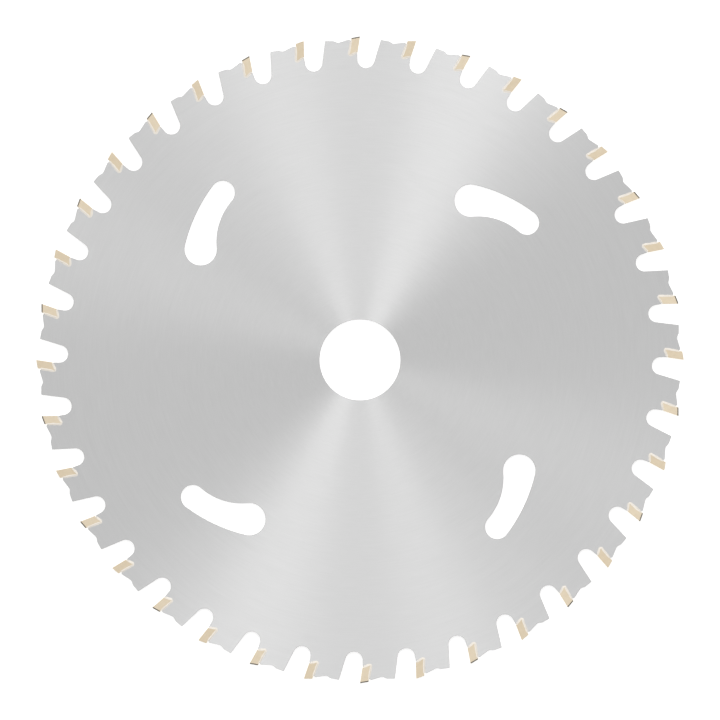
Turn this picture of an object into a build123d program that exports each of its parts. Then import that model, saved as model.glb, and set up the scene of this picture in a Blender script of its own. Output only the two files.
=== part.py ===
from build123d import *
from math import cos, radians, sin, sqrt, tan
import os

# Circular saw blade, lying flat: the bore is on the Z axis and the middle of the plate is at Z = 0.
# Seen from +Z, the way that the photograph shows it, the teeth cut clockwise.
# Every outline below is that of the tooth on the +Y axis. Its tip faces +X and its back is towards -X,
# and the other teeth are copies of it round the bore. Lengths are in millimetres, angles in degrees.

# Blade
blade_diameter = 160.0
bore_diameter = 20.0
plate_thickness = 1.6
kerf_width = 2.2
tooth_count = 36

# Carbide tip, and the angles that it is ground to
tip_face_length = 3.97
tip_thickness = 2.0
tip_heel_flat = 0.27
tip_foot_slope = 18.7
hook_angle = 9.0
top_relief_angle = 10.0
top_bevel_angle = 10.0
side_relief_radial = 1.0
side_relief_tangential = 1.5

# Silver solder: the film between a tip and its seat, and the bead that it leaves on both sides of the plate
braze_gap = 0.12
bead_reach = 0.37
bead_height = 0.12

# Rim of the plate. A drop is how far a corner lies inside the circle of the cutting edges.
tip_stand_out = 0.05
gullet_depth = 7.87
gullet_radius = 2.15
gullet_front_lean = 16.9
shoulder_drop = 0.68
shoulder_radius = 0.42
tooth_back_fall = 17.1
dip_drop = 1.52
dip_radius = 1.0
ramp_rise = 24.4
limiter_front_drop = 0.98
limiter_front_radius = 1.2
limiter_peak_drop = 0.76

# Kidney slots through the plate, each with a wide head and a narrow tail
slot_count = 4
slot_head_radius = 4.0
slot_head_circle = 47.95
slot_head_angle = 145.2
slot_tail_radius = 3.0
slot_tail_circle = 53.43
slot_tail_angle = 129.4
slot_outer_radius = 40.3
slot_inner_radius = 15.4

os.makedirs("parts", exist_ok=True)

blade_radius = blade_diameter / 2
half_plate = plate_thickness / 2
half_kerf = kerf_width / 2
tooth_pitch = 360 / tooth_count


def heading(angle):
    """The direction at this angle from +X, anticlockwise."""
    return Vector(cos(radians(angle)), sin(radians(angle)))


def rim_circle(drop):
    """The circle round the bore that lies this far inside the cutting edges."""
    return Edge.make_circle(blade_radius - drop)


# The tip's face leans forward by the hook angle. Its back is parallel to the face, and its foot slopes
# down from the face to the heel, where a small flat takes the sharp corner off.
cutting_edge = Vector(0, blade_radius)
face_up = heading(90 - hook_angle)
face_to_back = heading(180 - hook_angle)
foot_forward = heading(tip_foot_slope)
foot_outward = heading(tip_foot_slope - 90)
heel_outward = -(face_up + foot_forward).normalized()
face_bottom = cutting_edge - face_up * tip_face_length


def back_line(gap):
    """The line along the tip's back, this far off it."""
    return Axis(cutting_edge + face_to_back * (tip_thickness + gap), face_up)


def foot_line(gap):
    """The line along the tip's foot, this far off it."""
    return Axis(face_bottom + foot_outward * gap, foot_forward)


sharp_heel = back_line(0).intersect(foot_line(0))


def heel_line(gap):
    """The line along the flat across the tip's heel, this far off it."""
    return Axis(sharp_heel + face_up * tip_heel_flat + heel_outward * gap, foot_forward - face_up)


# Before grinding, the sintered block stands a kerf's width above the cutting edge.
block_front = cutting_edge + face_up * kerf_width
block_back = block_front + face_to_back * tip_thickness

with BuildLine() as back_and_foot:
    Polyline(
        block_back,
        back_line(0).intersect(heel_line(0)),
        heel_line(0).intersect(foot_line(0)),
        face_bottom,
    )

# The seat follows the tip's back, heel and foot at the thickness of the solder film. It ends at the
# gullet's rear wall, a little behind the tip's face.
seat_back_end = back_line(braze_gap).intersect(heel_line(braze_gap))
seat_foot_end = heel_line(braze_gap).intersect(foot_line(braze_gap))
gullet_rear = Axis(face_bottom - Vector(tip_stand_out, 0), (0, -1))
seat_nose = foot_line(braze_gap).intersect(gullet_rear)

# The gullet's bottom is one arc. Its centre is a gullet radius ahead of the rear wall.
gullet_centre_x = seat_nose.X + gullet_radius
gullet_centre_circle = blade_radius - gullet_depth + gullet_radius
gullet_foot = Vector(seat_nose.X, sqrt(gullet_centre_circle**2 - gullet_centre_x**2))

# One tooth of the plate. It runs clockwise from the peak of its kickback limiter, along the land, down
# the ramp into the dip, up the tooth's back, round the seat and through the gullet to the next peak.
with BuildLine() as tooth_form:
    shoulder = IntersectingLine(seat_back_end, face_up, rim_circle(shoulder_drop), mode=Mode.PRIVATE) @ 1
    back_fall = heading(180 + tooth_back_fall)
    dip = IntersectingLine(shoulder, back_fall, rim_circle(dip_drop), mode=Mode.PRIVATE) @ 1
    ramp = heading(180 - ramp_rise)
    limiter_front = IntersectingLine(dip, ramp, rim_circle(limiter_front_drop), mode=Mode.PRIVATE) @ 1
    gullet_round = JernArc(gullet_foot, (0, -1), gullet_radius, 180 - gullet_front_lean)
    gullet_front = IntersectingLine(gullet_round @ 1, gullet_round % 1, rim_circle(limiter_peak_drop))
    FilletPolyline(
        (gullet_front @ 1).rotate(Axis.Z, tooth_pitch),
        limiter_front,
        dip,
        shoulder,
        seat_back_end,
        seat_foot_end,
        seat_nose,
        gullet_foot,
        radius=(limiter_front_radius, dip_radius, shoulder_radius, 0, 0, 0),
    )

# The seat is as high as the straight part of its wall, up to where the tooth's shoulder starts to round.
shoulder_turn = 90 + hook_angle + tooth_back_fall
seat_top = shoulder - face_up * shoulder_radius * tan(radians(shoulder_turn / 2))

# One kidney slot. Both of its long sides are arcs that curve round the bore.
slot_head = heading(slot_head_angle) * slot_head_circle
slot_tail = heading(slot_tail_angle) * slot_tail_circle


def slot_side(radius, touching):
    """The arc of this radius that touches both ends of the slot, with its centre on the bore's side."""
    return ConstrainedArcs(
        (CenterArc(slot_head, slot_head_radius, 0, 360, mode=Mode.PRIVATE), touching),
        (CenterArc(slot_tail, slot_tail_radius, 0, 360, mode=Mode.PRIVATE), touching),
        radius=radius,
        selector=lambda arcs: arcs.sort_by(lambda arc: arc.arc_center.length)[0],
    ).edge()


with BuildSketch() as kidney_slot:
    with BuildLine():
        outer_side = slot_side(slot_outer_radius, Tangency.ENCLOSING)
        inner_side = slot_side(slot_inner_radius, Tangency.OUTSIDE)
        TangentArc(outer_side @ 1, inner_side @ 1, tangent=outer_side % 1)
        TangentArc(outer_side @ 0, inner_side @ 0, tangent=-(outer_side % 0))
    make_face()

# The plate is one flat sheet of steel, cut out with its teeth, bore and slots.
with BuildPart() as saw_plate:
    with BuildSketch():
        with BuildLine():
            with PolarLocations(0, tooth_count):
                add(tooth_form.line)
        make_face()
        Circle(bore_diameter / 2, mode=Mode.SUBTRACT)
        with PolarLocations(0, slot_count):
            add(kidney_slot.sketch, mode=Mode.SUBTRACT)
    extrude(amount=half_plate, both=True)

saw_plate.part.label = "saw_plate"
export_step(saw_plate.part, "parts/saw_plate.step")


def carbide_tip(high_side):
    """The tip on the +Y axis, with the high corner of its cutting edge at +Z (1) or at -Z (-1).

    The block is ground to a plane over its top, which falls backwards and away from the high corner, and
    to one on each side, which narrows it towards the bore and towards its back.
    """
    high_corner = cutting_edge + Vector(0, 0, high_side * half_kerf)
    top_normal = Vector(-tan(radians(top_relief_angle)), 1, -high_side * tan(radians(top_bevel_angle)))
    side_slope = Vector(-tan(radians(side_relief_tangential)), -tan(radians(side_relief_radial)))
    with BuildPart() as tip:
        with BuildSketch():
            with BuildLine():
                add(back_and_foot.line)
                Polyline(face_bottom, block_front, block_back)
            make_face()
        extrude(amount=kerf_width, both=True)
        split(bisect_by=Plane(high_corner, z_dir=top_normal), keep=Keep.BOTTOM)
        for side in (Vector(0, 0, 1), Vector(0, 0, -1)):
            side_plane = Plane(cutting_edge + side * half_kerf, z_dir=side_slope + side)
            split(bisect_by=side_plane, keep=Keep.BOTTOM)
    return tip.part


# The bevels alternate. The first tip has its high corner on the far side, so its bevel shows from +Z.
tip_forms = (carbide_tip(-1), carbide_tip(1))
for number in range(tooth_count):
    with BuildPart() as placed_tip:
        add(tip_forms[number % len(tip_forms)], rotation=(0, 0, -number * tooth_pitch))
    placed_tip.part.label = f"carbide_tip_{number + 1:02d}"
    export_step(placed_tip.part, f"parts/{placed_tip.part.label}.step")

# The solder fills the seat behind and under a tip, and stands on the plate beside it as a sloping bead.
# It ends at the top of the seat and at the gullet's rear wall.
with BuildPart() as braze_joint:
    with BuildSketch(Plane(block_back, x_dir=face_to_back, z_dir=-face_up)):
        with BuildLine():
            Polyline(
                (0, half_plate + bead_height),
                (bead_reach, half_plate),
                (braze_gap, half_plate),
                (braze_gap, -half_plate),
                (bead_reach, -half_plate),
                (0, -half_plate - bead_height),
                close=True,
            )
        make_face()
    sweep(path=back_and_foot.line, transition=Transition.RIGHT)
    split(bisect_by=Plane(seat_top, z_dir=heading(90 + tooth_back_fall)), keep=Keep.BOTTOM)
    split(bisect_by=Plane(seat_nose, z_dir=(1, 0, 0)), keep=Keep.BOTTOM)

with BuildPart() as braze_joints:
    with PolarLocations(0, tooth_count):
        add(braze_joint.part)

braze_joints.part.label = "braze_joints"
export_step(braze_joints.part, "parts/braze_joints.step")
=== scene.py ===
from math import atan2, ceil, cos, degrees, radians, sin, sqrt, tan

import bmesh
import bpy
from mathutils import Matrix, Vector, noise


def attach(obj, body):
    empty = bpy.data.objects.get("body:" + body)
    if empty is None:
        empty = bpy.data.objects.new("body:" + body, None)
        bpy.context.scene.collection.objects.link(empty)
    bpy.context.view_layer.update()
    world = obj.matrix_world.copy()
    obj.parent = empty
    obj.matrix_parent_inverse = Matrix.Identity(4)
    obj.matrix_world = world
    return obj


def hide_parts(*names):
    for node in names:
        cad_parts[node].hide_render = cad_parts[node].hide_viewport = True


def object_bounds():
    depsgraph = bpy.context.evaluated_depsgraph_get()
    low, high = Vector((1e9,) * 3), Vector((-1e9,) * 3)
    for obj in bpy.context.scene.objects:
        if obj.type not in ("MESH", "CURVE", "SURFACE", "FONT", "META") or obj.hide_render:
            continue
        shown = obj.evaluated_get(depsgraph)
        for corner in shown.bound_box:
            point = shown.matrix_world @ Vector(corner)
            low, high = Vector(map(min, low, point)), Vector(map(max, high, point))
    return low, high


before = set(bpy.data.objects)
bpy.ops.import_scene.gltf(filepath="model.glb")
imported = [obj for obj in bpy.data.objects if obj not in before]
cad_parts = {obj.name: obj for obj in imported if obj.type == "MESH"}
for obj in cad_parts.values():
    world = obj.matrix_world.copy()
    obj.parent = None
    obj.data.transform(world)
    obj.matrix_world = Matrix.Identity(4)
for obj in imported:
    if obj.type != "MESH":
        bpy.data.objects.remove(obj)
cad_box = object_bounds()

# Plate: one flat sheet of hardened tool steel. Its teeth, bore and kidney slots are laser cut, the edges
# are lightly deburred, and both faces are then ground round and round on a turning magnetic chuck.
# All outlines are in millimetres and belong to the tooth on the +Y axis, whose tip faces +X.
MM = 0.001
blade_radius = 80.0
bore_radius = 10.0
half_plate = 0.8
tooth_count = 36
tooth_pitch = 360 / tooth_count
edge_break = 0.05
arc_step = 0.18  # the longest straight piece of an arc
arc_turn = 9  # and the most that it turns

# The seats fit the tips' backs, heels and feet, so the form of a tip stands here too.
tip_face_length = 3.97
tip_thickness = 2.0
tip_heel_flat = 0.27
tip_foot_slope = 18.7
hook_angle = 9.0
braze_gap = 0.12
tip_stand_out = 0.05

# A drop is how far a corner lies inside the circle of the cutting edges.
gullet_depth = 7.87
gullet_radius = 2.15
gullet_front_lean = 16.9
shoulder_drop = 0.68
shoulder_radius = 0.42
nose_radius = 0.2
tooth_back_fall = 17.1
dip_drop = 1.52
dip_radius = 1.0
ramp_rise = 24.4
limiter_front_drop = 0.98
limiter_front_radius = 1.2
limiter_peak_drop = 0.76

slot_count = 4
slot_head = (4.0, 47.95, 145.2)  # radius, distance from the bore's centre, angle
slot_tail = (3.0, 53.43, 129.4)
slot_outer_radius = 40.3
slot_inner_radius = 15.4


def heading(angle):
    """The direction at this angle from +X, anticlockwise."""
    return Vector((cos(radians(angle)), sin(radians(angle))))


def turned(point, angle):
    """The point turned round the bore, anticlockwise."""
    return Matrix.Rotation(radians(angle), 2) @ point


def crossing(point, way, other, other_way):
    """Where the line from one point meets the line from another."""
    return point + way * ((other - point).cross(other_way) / way.cross(other_way))


def out_to(point, way, radius):
    """The nearest point ahead that is this far from the bore's centre."""
    half = point.dot(way)
    root = sqrt(half**2 - (point.length_squared - radius**2))
    return point + way * min(far for far in (-half - root, -half + root) if far > 0)


def arc(centre, radius, start, sweep):
    """Points on an arc, both ends among them."""
    steps = max(ceil(abs(sweep) / arc_turn), ceil(radians(abs(sweep)) * radius / arc_step))
    return [centre + heading(start + sweep * i / steps) * radius for i in range(steps + 1)]


def rounded(before, corner, after, radius):
    """The corner as an arc that touches both of its sides."""
    into = (corner - before).normalized()
    out = (after - corner).normalized()
    turn = degrees(atan2(into.cross(out), into.dot(out)))
    start = corner - into * radius * tan(radians(abs(turn)) / 2)
    left = Vector((-into.y, into.x))
    centre = start + left * (radius if turn > 0 else -radius)
    return arc(centre, radius, degrees(atan2(*(start - centre).yx)), turn)


cutting_edge = Vector((0, blade_radius))
face_up = heading(90 - hook_angle)
face_to_back = heading(180 - hook_angle)
foot_forward = heading(tip_foot_slope)
foot_outward = heading(tip_foot_slope - 90)
heel_way = foot_forward - face_up
heel_outward = -(face_up + foot_forward).normalized()
face_bottom = cutting_edge - face_up * tip_face_length
sharp_heel = crossing(cutting_edge + face_to_back * tip_thickness, face_up, face_bottom, foot_forward)
heel_top = sharp_heel + face_up * tip_heel_flat
heel_bottom = crossing(heel_top, heel_way, face_bottom, foot_forward)


def off_back(gap):
    """A point on the line along the tip's back, this far off it."""
    return sharp_heel + face_to_back * gap


def off_heel(gap):
    """A point on the line along the flat across the tip's heel, this far off it."""
    return heel_top + heel_outward * gap


def off_foot(gap):
    """A point on the line along the tip's foot, this far off it."""
    return face_bottom + foot_outward * gap


upward = Vector((0, 1))
seat_back_end = crossing(off_back(braze_gap), face_up, off_heel(braze_gap), heel_way)
seat_foot_end = crossing(off_foot(braze_gap), foot_forward, off_heel(braze_gap), heel_way)
rear_wall_x = face_bottom.x - tip_stand_out
seat_nose = crossing(off_foot(braze_gap), foot_forward, Vector((rear_wall_x, 0)), upward)
gullet_centre_x = rear_wall_x + gullet_radius
gullet_centre_circle = blade_radius - gullet_depth + gullet_radius
gullet_centre = Vector((gullet_centre_x, sqrt(gullet_centre_circle**2 - gullet_centre_x**2)))

shoulder = out_to(seat_back_end, face_up, blade_radius - shoulder_drop)
back_fall = heading(180 + tooth_back_fall)
dip = out_to(shoulder, back_fall, blade_radius - dip_drop)
limiter_front = out_to(dip, heading(180 - ramp_rise), blade_radius - limiter_front_drop)
gullet_round = arc(gullet_centre, gullet_radius, 180, 180 - gullet_front_lean)
gullet_front = heading(90 - gullet_front_lean)
limiter_peak = out_to(gullet_round[-1], gullet_front, blade_radius - limiter_peak_drop)
last_peak = turned(limiter_peak, tooth_pitch)

tooth_outline = [
    last_peak,
    *rounded(last_peak, limiter_front, dip, limiter_front_radius),
    *rounded(limiter_front, dip, shoulder, dip_radius),
    *rounded(dip, shoulder, seat_back_end, shoulder_radius),
    seat_back_end,
    seat_foot_end,
    *rounded(seat_foot_end, seat_nose, gullet_round[0], nose_radius),
    *gullet_round,
]
rim = [turned(point, -tooth_pitch * tooth) for tooth in range(tooth_count) for point in tooth_outline]
bore = arc(Vector((0, 0)), bore_radius, 0, 360)[:-1]


def slot_side(radius, outside):
    """The centre of the arc that touches both ends of a slot, on the bore's side."""
    head, tail = (heading(end[2]) * end[1] for end in (slot_head, slot_tail))
    to_head, to_tail = (radius + end[0] * (1 if outside else -1) for end in (slot_head, slot_tail))
    apart = tail - head
    along = (to_head**2 - to_tail**2 + apart.length_squared) / (2 * apart.length)
    foot = head + apart.normalized() * along
    across = Vector((-apart.y, apart.x)).normalized() * sqrt(to_head**2 - along**2)
    return min((foot + across, foot - across), key=lambda centre: centre.length)


def slot_outline():
    """The slot's outline, anticlockwise: round the head, along the inner side, round the tail and back."""
    outer = slot_side(slot_outer_radius, False)
    inner = slot_side(slot_inner_radius, True)
    ends = []
    for radius, distance, angle in (slot_head, slot_tail):
        centre = heading(angle) * distance
        to_outer = degrees(atan2(*(centre - outer).yx))
        to_inner = degrees(atan2(*(inner - centre).yx))
        ends.append((centre, radius, to_outer, to_inner))
    (head, head_r, head_out, head_in), (tail, tail_r, tail_out, tail_in) = ends
    points = arc(head, head_r, head_out, (head_in - head_out) % 360)
    points += arc(inner, slot_inner_radius, head_in + 180, -((head_in - tail_in) % 360))[1:-1]
    points += arc(tail, tail_r, tail_in, (tail_out - tail_in) % 360)
    points += arc(outer, slot_outer_radius, tail_out, (head_out - tail_out) % 360)[1:-1]
    return points


slots = [[turned(point, 360 / slot_count * k) for point in slot_outline()] for k in range(slot_count)]


def inset(loop, depth):
    """The loop moved into the steel by this depth. The steel is on the left of every loop."""
    moved = []
    for i, point in enumerate(loop):
        into = (point - loop[i - 1]).normalized()
        out = (loop[(i + 1) % len(loop)] - point).normalized()
        left = Vector((-into.y - out.y, into.x + out.x))
        moved.append(point + left * (depth / (1 + into.dot(out))))
    return moved


def mesh_of(bm, name, smooth_below, *materials):
    """The finished mesh in metres as an object, shaded smooth over edges that turn less than this angle."""
    bmesh.ops.scale(bm, vec=(MM, MM, MM), verts=bm.verts)
    bmesh.ops.recalc_face_normals(bm, faces=bm.faces)
    mesh = bpy.data.meshes.new(name)
    bm.to_mesh(mesh)
    bm.free()
    for material in materials:
        mesh.materials.append(material)
    mesh.shade_smooth()
    mesh.set_sharp_from_angle(angle=radians(smooth_below))
    piece = bpy.data.objects.new(name, mesh)
    bpy.context.scene.collection.objects.link(piece)
    return piece


def linear(hex_colour):
    """An sRGB hex colour as the linear one that a shader takes."""
    parts = [int(hex_colour[i:i + 2], 16) / 255 for i in (1, 3, 5)]
    return [p / 12.92 if p <= 0.04045 else ((p + 0.055) / 1.055) ** 2.4 for p in parts] + [1.0]


def add(tree, kind, inputs={}, **settings):
    """A new node. An input takes a value, a node, whose first output is linked, or (node, output name)."""
    made = tree.nodes.new("ShaderNode" + kind)
    for name, value in settings.items():
        setattr(made, name, value)
    for socket, value in inputs.items():
        if isinstance(value, bpy.types.Node):
            value = (value, 0)
        if isinstance(value, tuple) and isinstance(value[0], bpy.types.Node):
            tree.links.new(value[0].outputs[value[1]], made.inputs[socket])
        else:
            made.inputs[socket].default_value = value
    return made


def finish_named(name):
    """A new material with an empty node tree."""
    material = bpy.data.materials.new(name)
    material.use_nodes = True
    material.node_tree.nodes.clear()
    return material


# Circular-ground tool steel is a bare metal with fine marks that run round the bore. They spread light
# across themselves and hardly along themselves, so each lamp shows as a bright bow through the centre.
# Real marks are under 0.05 mm apart. Here the finest are 0.06 mm and the plainest 0.16 mm, with broad
# shades of 0.7 mm, so that they show.
ground_steel = finish_named("circular_ground_tool_steel")
tree = ground_steel.node_tree
place = add(tree, "TexCoord")
flat = add(tree, "VectorMath", {0: (place, "Object"), 1: (1, 1, 0)}, operation="MULTIPLY")
from_bore = add(tree, "VectorMath", {0: flat}, operation="LENGTH")
way = add(tree, "VectorMath", {0: flat}, operation="NORMALIZE")
mark_layers = (
    # millimetres from mark to mark, how often a mark changes in a radian round the bore, detail, weight
    (0.7, 4.0, 3, 0.33),
    (0.16, 9.0, 2, 1.0),
    (0.06, 14.0, 1, 0.5),
)
marks = 0
for pitch, changes, detail, weight in mark_layers:
    rings = add(tree, "Math", {0: (from_bore, "Value"), 1: 1 / (pitch * MM)}, operation="MULTIPLY")
    lifted = add(tree, "CombineXYZ", {"Z": rings})
    round_bore = add(tree, "VectorMath", {0: way, 1: (changes,) * 3, 2: lifted}, operation="MULTIPLY_ADD")
    layer = add(tree, "TexNoise", {"Vector": round_bore, "Scale": 1.0, "Detail": detail})
    marks = add(tree, "Math", {0: layer, 1: weight, 2: marks}, operation="MULTIPLY_ADD")
mark_range = {"From Min": 0.6, "From Max": 1.23}
tone = add(tree, "MapRange", {"Value": marks, **mark_range})
colour = add(tree, "Mix", {0: tone, 6: linear("#C6C6C6"), 7: linear("#CACACA")}, data_type="RGBA")
sheen = add(tree, "MapRange", {"Value": marks, **mark_range, "To Min": 0.36, "To Max": 0.32})
relief = add(tree, "Bump", {"Height": marks, "Distance": 0.004 * MM, "Strength": 0.5})
circles = add(tree, "Tangent", direction_type="RADIAL", axis="Z")
metal = add(tree, "BsdfPrincipled", {
    "Base Color": (colour, 2), "Metallic": 1.0, "Roughness": sheen, "Anisotropic": 1.0,
    "Anisotropic Rotation": 0.25, "Normal": relief, "Tangent": circles,
})
add(tree, "OutputMaterial", {"Surface": metal})

# Laser-cut steel has fine furrows down the wall, from one face to the other, where the melt ran out. They
# make it duller and a little darker than the ground faces. Real furrows are near 0.1 mm, here 0.15 mm.
cut_steel = finish_named("laser_cut_steel_wall")
tree = cut_steel.node_tree
place = add(tree, "TexCoord")
furrow_size = (0.15 * MM, 0.15 * MM, 2.9 * MM)
stretched = add(tree, "Mapping", {"Vector": (place, "Object"), "Scale": furrow_size}, vector_type="TEXTURE")
furrows = add(tree, "TexNoise", {"Vector": stretched, "Scale": 1.0, "Detail": 2.0})
colour = add(tree, "Mix", {0: furrows, 6: linear("#939290"), 7: linear("#B1B0AE")}, data_type="RGBA")
dullness = add(tree, "MapRange", {"Value": furrows, "To Min": 0.52, "To Max": 0.38})
relief = add(tree, "Bump", {"Height": furrows, "Distance": 0.02 * MM, "Strength": 0.8})
metal = add(tree, "BsdfPrincipled", {
    "Base Color": (colour, 2), "Metallic": 1.0, "Roughness": dullness, "Normal": relief,
})
add(tree, "OutputMaterial", {"Surface": metal})

# The walls meet both faces in a small round, where the burr was taken off.
bm = bmesh.new()
levels = []  # how far in from the wall, and at what height, from the lower face to the upper
for face in (-1, 1):
    for angle in (0, 30, 60, 90)[::face]:
        depth = edge_break * (1 - cos(radians(angle)))
        levels.append((depth, face * (half_plate - edge_break * (1 - sin(radians(angle))))))
for loop in (rim, bore, *slots):
    loop = loop[::-1]
    stack = [[bm.verts.new((*point, z)) for point in inset(loop, depth)] for depth, z in levels]
    for low, high in zip(stack, stack[1:]):
        for i in range(len(loop)):
            wall = bm.faces.new((low[i - 1], low[i], high[i], high[i - 1]))
            wall.material_index = 1
for z in (-half_plate, half_plate):
    outline = [edge for edge in bm.edges if all(abs(vert.co.z - z) < 1e-6 for vert in edge.verts)]
    bmesh.ops.triangle_fill(bm, use_beauty=True, use_dissolve=False, edges=outline)
plate = mesh_of(bm, "ground_plate", 12, ground_steel, cut_steel)
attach(plate, "root")
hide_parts("saw_plate")

# Cutting tips: each is a block of tungsten carbide, pressed and sintered, brazed into its seat and then
# ground across its top and down both sides. The tops slope to one side and to the other in turn, so that
# every second tip shows its bevel here. Tip 01 is on the +Y axis and the numbers run clockwise.
half_kerf = 1.1
top_relief = tan(radians(10.0))
top_bevel = tan(radians(10.0))
side_relief_radial = tan(radians(1.0))
side_relief_tangential = tan(radians(1.5))
edge_hone = 0.03  # the small round that grinding leaves on the edges

# Ground cemented carbide is a hard, bright metal with a warm tan cast. The wheel leaves fine straight
# lines along each tip, near 0.03 mm apart in reality and 0.08 mm here, and a light clouding. The sides
# of every second tip are a shade darker, as in the photo.
carbide = finish_named("ground_cemented_carbide")
tree = carbide.node_tree
place = add(tree, "TexCoord")
this_tip = add(tree, "ObjectInfo")
shifted = add(tree, "VectorMath", {0: (place, "Object"), 1: (this_tip, "Random")}, operation="ADD")
line_size = (0.08 * MM, 2.5 * MM, 0.08 * MM)
along_tip = add(tree, "Mapping", {
    "Vector": shifted, "Rotation": (0, 0, radians(-hook_angle)), "Scale": line_size,
}, vector_type="TEXTURE")
lines = add(tree, "TexNoise", {"Vector": along_tip, "Scale": 1.0, "Detail": 2.0})
clouds = add(tree, "TexNoise", {"Vector": shifted, "Scale": 1 / (1.1 * MM), "Detail": 2.0})
grit = add(tree, "Math", {0: lines, 1: clouds}, operation="ADD")
shade = add(tree, "Math", {0: (this_tip, "Object Index"), 1: -0.19, 2: 0.21}, operation="MULTIPLY_ADD")
tone = add(tree, "Math", {0: grit, 1: 0.25, 2: shade}, operation="MULTIPLY_ADD")
colour = add(tree, "Mix", {0: tone, 6: linear("#C6B79E"), 7: linear("#DFD4C0")}, data_type="RGBA")
dullness = add(tree, "MapRange", {
    "Value": grit, "From Min": 0.5, "From Max": 1.5, "To Min": 0.56, "To Max": 0.48,
})
relief = add(tree, "Bump", {"Height": lines, "Distance": 0.004 * MM, "Strength": 0.6})
metal = add(tree, "BsdfPrincipled", {
    "Base Color": (colour, 2), "Metallic": 1.0, "Roughness": dullness, "Normal": relief,
})
add(tree, "OutputMaterial", {"Surface": metal})

# The tops are painted a dark, dull brownish grey. This is painted shade for the dark that their steep slope
# mirrors when seen from above, and a gloss dimmed at low angles adds to it. Their grinding lines run from
# front to back, near 0.05 mm apart in reality and 0.09 mm here.
carbide_top_painted_shade = finish_named("rough_ground_carbide_top")
tree = carbide_top_painted_shade.node_tree
place = add(tree, "TexCoord")
line_size = (1.7 * MM, 1.7 * MM, 0.09 * MM)
stretched = add(tree, "Mapping", {"Vector": (place, "Object"), "Scale": line_size}, vector_type="TEXTURE")
lines = add(tree, "TexNoise", {"Vector": stretched, "Scale": 1.0, "Detail": 2.0})
# the two dark browns are painted shade on the tops
colour = add(tree, "Mix", {0: lines, 6: linear("#746F66"), 7: linear("#857F75")}, data_type="RGBA")
dullness = add(tree, "MapRange", {"Value": lines, "To Min": 0.62, "To Max": 0.48})
relief = add(tree, "Bump", {"Height": lines, "Distance": 0.006 * MM, "Strength": 0.7})
metal = add(tree, "BsdfPrincipled", {
    "Base Color": (colour, 2), "Metallic": 1.0, "Roughness": dullness, "Normal": relief,
    # the gloss dimmed at low angles is painted shade too
    "Specular Tint": (0.3, 0.3, 0.3, 1.0),
})
add(tree, "OutputMaterial", {"Surface": metal})


def ground_tip(high_side):
    """One tip's mesh, with the high corner of its cutting edge at +Z (1) or at -Z (-1)."""
    bm = bmesh.new()
    block_front = cutting_edge + face_up
    block_back = block_front + face_to_back * tip_thickness
    corners = (block_front, block_back, heel_top, heel_bottom, face_bottom)
    near = [bm.verts.new((*corner, 2 * half_kerf)) for corner in corners]
    far = [bm.verts.new((*corner, -2 * half_kerf)) for corner in corners]
    bm.faces.new(near)
    bm.faces.new(far[::-1])
    for i in range(len(corners)):
        bm.faces.new((near[i], near[i - 1], far[i - 1], far[i]))
    high_corner = Vector((*cutting_edge, high_side * half_kerf))
    cuts = [(high_corner, Vector((-top_relief, 1, -high_side * top_bevel)), 1)]
    for side in (-1, 1):
        slope = Vector((-side_relief_tangential, -side_relief_radial, side))
        cuts.append((Vector((*cutting_edge, side * half_kerf)), slope, 0))
    for point, normal, finish in cuts:
        block = bm.verts[:] + bm.edges[:] + bm.faces[:]
        cut = bmesh.ops.bisect_plane(bm, geom=block, plane_co=point, plane_no=normal, clear_outer=True)
        cut_edges = [part for part in cut["geom_cut"] if isinstance(part, bmesh.types.BMEdge)]
        for ground in bmesh.ops.contextual_create(bm, geom=cut_edges)["faces"]:
            ground.material_index = finish
    return bm


for number in range(tooth_count):
    bm = ground_tip(-1 if number % 2 == 0 else 1)
    # the tops take the finish with painted shade
    tip = mesh_of(bm, f"ground_tip_{number + 1:02d}", 0, carbide, carbide_top_painted_shade)
    hone = tip.modifiers.new("honed edges", "BEVEL")
    hone.width = edge_hone * MM
    hone.segments = 2
    hone.limit_method = "ANGLE"
    hone.angle_limit = radians(20)
    hone.harden_normals = True
    tip.rotation_euler.z = radians(-tooth_pitch * number)
    tip.pass_index = number % 2  # 1 makes its sides the darker shade
    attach(tip, "root")
    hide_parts(f"carbide_tip_{number + 1:02d}")

# Solder joints: silver solder is melted between each tip and its seat. It fills the gap behind and under
# the tip, creeps onto the tip's sides, and sets as a small uneven hollow bead on both faces.
bead_form = (
    # stage, how far it creeps onto the tip, how far it reaches over the plate. The stages run from 0 to 1
    # down the tip's back, to 2 round its heel and to 3 along its foot. Before 0 it climbs up the tip alone.
    (-0.16, 0.02, 0.03),
    (-0.08, 0.17, 0.10),
    (0.0, 0.25, 0.26),
    (0.4, 0.29, 0.29),
    (1.0, 0.22, 0.34),
    (1.5, 0.06, 0.40),
    (2.0, 0.04, 0.50),
    (2.4, 0.12, 0.46),
    (3.0, 0.14, 0.34),
)
overlap = 0.004  # it runs into the plate and the tip by a hair, so that no gap shows
lip_skin = ((1, -overlap), (0.85, 0.010), (0.5, 0.017), (0.15, 0.016))  # share of its creep, thickness
crest_height = 0.012  # how far it stands over the tip's side at the tip's edge
fall_places = (0.1, 0.3, 0.5, 0.75, 1)  # shares of its reach over the plate
fall_power = 1.6  # over 1, the bead is hollow
bead_wave = 0.07  # how far slow waves move its outer edge
bead_ripple = 0.03  # and how far short ripples do
steady_reach = 0.26  # a bead narrower than this moves less
lip_change = 0.3  # the share of its creep that both add or take
fill_depth = 0.2  # the solder's own line runs this far inside the tip, so that it turns round the heel
nose_recess = 0.18  # it ends this far behind the gullet's rear wall

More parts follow.
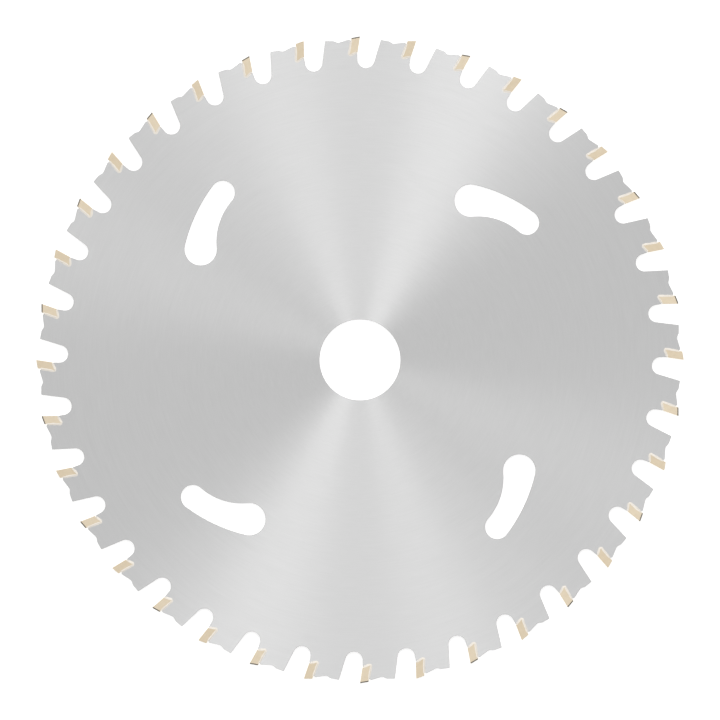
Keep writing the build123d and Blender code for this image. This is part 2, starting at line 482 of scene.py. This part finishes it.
# Silver solder is a pale, creamy metal that sets with a soft, slightly lumpy skin. Lumps are near 0.45 mm
# and grains 0.11 mm, coarser than the real ones, so that they show.
solder = finish_named("silver_solder_as_set")
tree = solder.node_tree
place = add(tree, "TexCoord")
lumps = add(tree, "TexNoise", {"Vector": (place, "Object"), "Scale": 1 / (0.45 * MM), "Detail": 3.0})
grains = add(tree, "TexNoise", {"Vector": (place, "Object"), "Scale": 1 / (0.11 * MM), "Detail": 1.0})
colour = add(tree, "Mix", {0: lumps, 6: linear("#DED8CF"), 7: linear("#EEEAE3")}, data_type="RGBA")
dullness = add(tree, "MapRange", {"Value": grains, "To Min": 0.62, "To Max": 0.78})
relief = add(tree, "Bump", {"Height": lumps, "Distance": 0.03 * MM, "Strength": 0.7})
metal = add(tree, "BsdfPrincipled", {
    "Base Color": (colour, 2), "Metallic": 1.0, "Roughness": dullness, "Normal": relief,
})
add(tree, "OutputMaterial", {"Surface": metal})

back_end = crossing(off_back(-fill_depth), face_up, off_heel(-fill_depth), heel_way)
heel_end = crossing(off_foot(-fill_depth), foot_forward, off_heel(-fill_depth), heel_way)
seat_top = shoulder - face_up * shoulder_radius * tan(radians(90 + hook_angle + tooth_back_fall) / 2)
stages = []
for start, end, steps in ((bead_form[0][0], 0, 4), (0, 1, 20), (1, 2, 10), (2, 3, 16)):
    stages += [start + (end - start) * i / steps for i in range(steps)]
stages.append(3)


def solder_point(stage, off):
    """The point at this stage of the way round a tip and this far off it."""
    deep = off + fill_depth
    if stage < 1:
        bottom = back_end + face_to_back * deep
        return crossing(bottom, face_up, seat_top, back_fall).lerp(bottom, stage)
    if stage > 2:
        heel = heel_end + foot_outward * deep
        nose = crossing(heel, foot_forward, Vector((rear_wall_x - nose_recess, 0)), upward)
        return heel.lerp(nose, stage - 2)
    way = face_to_back.lerp(foot_outward, stage - 1)
    return back_end.lerp(heel_end, stage - 1) + way.normalized() * deep


def bead_at(stage):
    """How far the bead creeps onto the tip and reaches over the plate at this stage."""
    for (start, lip, reach), (end, next_lip, next_reach) in zip(bead_form, bead_form[1:]):
        if stage <= end:
            share = (stage - start) / (end - start)
            return lip + (next_lip - lip) * share, reach + (next_reach - reach) * share


def side_height(point):
    """How far a tip's ground side stands from the plate's middle at this point."""
    return half_kerf + side_relief_tangential * point.x + side_relief_radial * (point.y - blade_radius)


bm = bmesh.new()
for number in range(tooth_count):
    sections = []
    for i, stage in enumerate(stages):
        on_tip = solder_point(stage, 0)
        outward = solder_point(stage, 1) - on_tip
        section = []
        for side in (1, -1):
            wave = noise.noise(Vector((i * 0.16, number * 5.7, side * 3.3)))
            ripple = noise.noise(Vector((i * 0.45, number * 9.1, side * 7.9)))
            lip, reach = bead_at(stage)
            reach += (bead_wave * wave + bead_ripple * ripple) * min(1, reach / steady_reach)
            lip *= 1 + lip_change * (wave - ripple)
            half = []
            for share, thickness in lip_skin:
                off = -share * lip
                half.append((off, side_height(on_tip + outward * off) + thickness))
            crest = side_height(on_tip) + crest_height - half_plate
            for share in fall_places:
                half.append((share * reach, half_plate - overlap + crest * (1 - share) ** fall_power))
            half.append((min(braze_gap + overlap, 0.8 * reach), half_plate - overlap))
            points = [(*(on_tip + outward * off), side * z) for off, z in half]
            section += [bm.verts.new(point) for point in points[::side]]
        bmesh.ops.rotate(bm, verts=section, matrix=Matrix.Rotation(radians(-tooth_pitch * number), 3, "Z"))
        sections.append(section)
    for one, two in zip(sections, sections[1:]):
        for i in range(len(one)):
            bm.faces.new((one[i - 1], one[i], two[i], two[i - 1]))
    bm.faces.new(sections[0])
    bm.faces.new(reversed(sections[-1]))
joints = mesh_of(bm, "solder_joints", 50, solder)
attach(joints, "root")
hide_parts("braze_joints")

# Table, light and camera: a white table under the tips' lower sides, soft even light from all round, and
# four lamps, one broad and three narrower, that draw the bows across the ground steel. The camera looks
# straight down.
photo_side = 720
millimetres_per_pixel = 0.24703
blade_above_middle = 0.102  # pixels
table_reach = 1500  # from its middle to each side


def in_view(tree):
    """1 for a ray from the camera, off gloss or through glass, and 0 for one that lights the scene."""
    ray = add(tree, "LightPath")
    seen = add(tree, "Math", {0: (ray, "Is Camera Ray"), 1: (ray, "Is Glossy Ray")}, operation="MAXIMUM")
    return add(tree, "Math", {0: seen, 1: (ray, "Is Transmission Ray")}, operation="MAXIMUM")


# The table is lacquered matt white, with a grain of 3 mm. A glow of its own, which shows in view and in
# reflections alone, brings it to white, and its matt share keeps the blade's shadow.
table_white = finish_named("matt_white_table")
tree = table_white.node_tree
place = add(tree, "TexCoord")
grain = add(tree, "TexNoise", {"Vector": (place, "Object"), "Scale": 1 / (3.0 * MM), "Detail": 2.0})
colour = add(tree, "Mix", {0: grain, 6: linear("#EBEBEB"), 7: linear("#F1F1F1")}, data_type="RGBA")
matt = add(tree, "BsdfDiffuse", {"Color": (colour, 2)})
lift = add(tree, "Math", {0: in_view(tree), 1: 0.55}, operation="MULTIPLY")
glow = add(tree, "Emission", {"Color": (1, 1, 1, 1), "Strength": lift})
both = add(tree, "AddShader", {0: matt, 1: glow})
add(tree, "OutputMaterial", {"Surface": both})

bm = bmesh.new()
bmesh.ops.create_grid(bm, x_segments=4, y_segments=4, size=table_reach)
for vert in bm.verts:
    vert.co.z = cad_box[0].z / MM
table = mesh_of(bm, "table", 0, table_white)

# The studio is white where it is seen, and lights the blade a little less, so that pale steel shows.
world = bpy.data.worlds.new("white studio")
world.use_nodes = True
tree = world.node_tree
tree.nodes.clear()
level = add(tree, "MapRange", {"Value": in_view(tree), "To Min": 0.77, "To Max": 1.0})
sky = add(tree, "Background", {"Color": (1, 1, 1, 1), "Strength": level})
add(tree, "OutputWorld", {"Surface": sky})
bpy.context.scene.world = world

lamps = (
    # azimuth, elevation and spread in degrees, strength
    (90, 55, 50, 0.422),
    (67.5, 55, 14, 0.132),
    (107.5, 45, 14, 0.118),
    (155, 65, 14, 0.065),
)
for azimuth, elevation, spread, strength in lamps:
    lamp_data = bpy.data.lights.new(f"lamp_{azimuth:.0f}", "SUN")
    lamp_data.energy = strength
    lamp_data.angle = radians(spread)
    lamp = bpy.data.objects.new(lamp_data.name, lamp_data)
    away = Vector((*heading(azimuth) * cos(radians(elevation)), sin(radians(elevation))))
    lamp.rotation_euler = away.to_track_quat("Z", "Y").to_euler()
    lamp.location = away
    bpy.context.scene.collection.objects.link(lamp)

camera_data = bpy.data.cameras.new("camera")
camera_data.lens = 400
camera_data.sensor_width = 36
camera_data.clip_end = 10
half_view = photo_side / 2 * millimetres_per_pixel * MM
height = cad_box[1].z + half_view * camera_data.lens / (camera_data.sensor_width / 2)
camera = bpy.data.objects.new("camera", camera_data)
camera.location = (0, -blade_above_middle * millimetres_per_pixel * MM, height)
bpy.context.scene.collection.objects.link(camera)
bpy.context.scene.camera = camera
bpy.context.scene.view_settings.view_transform = "Standard"
